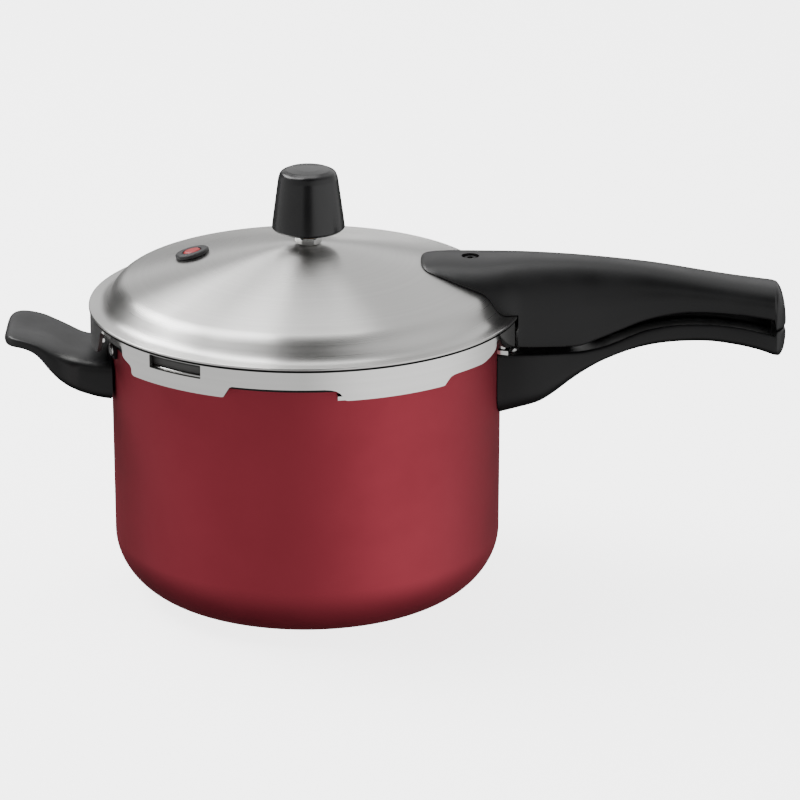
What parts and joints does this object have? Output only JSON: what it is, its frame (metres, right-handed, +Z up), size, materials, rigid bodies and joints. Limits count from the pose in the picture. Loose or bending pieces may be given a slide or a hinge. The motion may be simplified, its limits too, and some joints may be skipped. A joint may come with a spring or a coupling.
{
  "type": "stovetop pressure cooker",
  "caption": "Round stovetop pressure cooker: red coated pot, twist-lock metal lid, weight valve, safety valve, long double handle and helper handle.",
  "frame": {"origin": "centre of the pot's flat underside", "axes": "+Z up, +X towards the long handles, -X towards the helper handle"},
  "size_m": [0.4138, 0.2296, 0.2303],
  "materials": {
    "red_coated_aluminium": "satin",
    "satin_aluminium": "satin",
    "bright_steel": "satin",
    "blackened_steel": "satin",
    "black_bakelite": "satin",
    "black_silicone": "matte",
    "grey_silicone": "satin",
    "red_silicone": "satin",
    "brass": "satin"
  },
  "bodies": {
    "pot": {"pot_body": "red_coated_aluminium", "pot_handle_bracket": "bright_steel", "pot_handle": "black_bakelite", "pot_handle_rivet_1": "bright_steel", "pot_handle_rivet_2": "bright_steel", "pot_handle_screw": "bright_steel", "root_bolt_front": "bright_steel", "root_nut_front": "bright_steel", "root_bolt_back": "bright_steel", "root_nut_back": "bright_steel", "helper_bracket": "blackened_steel", "helper_handle": "black_bakelite", "helper_rivet_front": "bright_steel", "helper_rivet_back": "bright_steel", "helper_screw": "bright_steel"},
    "seal": {"sealing_ring": "grey_silicone"},
    "lid": {"lid_shell": "satin_aluminium", "lid_handle_bracket": "bright_steel", "lid_rivet_front": "bright_steel", "lid_rivet_back": "bright_steel", "lid_handle": "black_bakelite", "lid_handle_screw_front": "bright_steel", "lid_handle_screw_rear": "bright_steel", "lid_handle_cover": "black_bakelite", "vent_pipe": "brass", "vent_seal": "black_silicone", "vent_nut": "bright_steel", "vent_strainer": "bright_steel", "safety_grommet": "black_silicone"},
    "weight": {"regulator_weight": "bright_steel", "weight_cap": "black_bakelite"},
    "pin": {"pressure_pin": "red_silicone", "pin_clip": "bright_steel"}
  },
  "joints": [
    {"name": "lid_lift", "type": "slide", "parent": "pot", "child": "seal", "axis": [0, 0, 1], "range_m": [0, 0.12]},
    {"name": "lid_turn", "type": "hinge", "parent": "seal", "child": "lid", "pos_m": [0, 0, 0.15], "axis": [0, 0, 1], "range_deg": [0, 30]},
    {"name": "weight_lift", "type": "slide", "parent": "lid", "child": "weight", "axis": [0, 0, 1], "range_m": [0, 0.04]},
    {"name": "pin_rise", "type": "slide", "parent": "lid", "child": "pin", "axis": [-0.2338, 0.0412, 0.9714], "range_m": [0, 0.0035]}
  ]
}
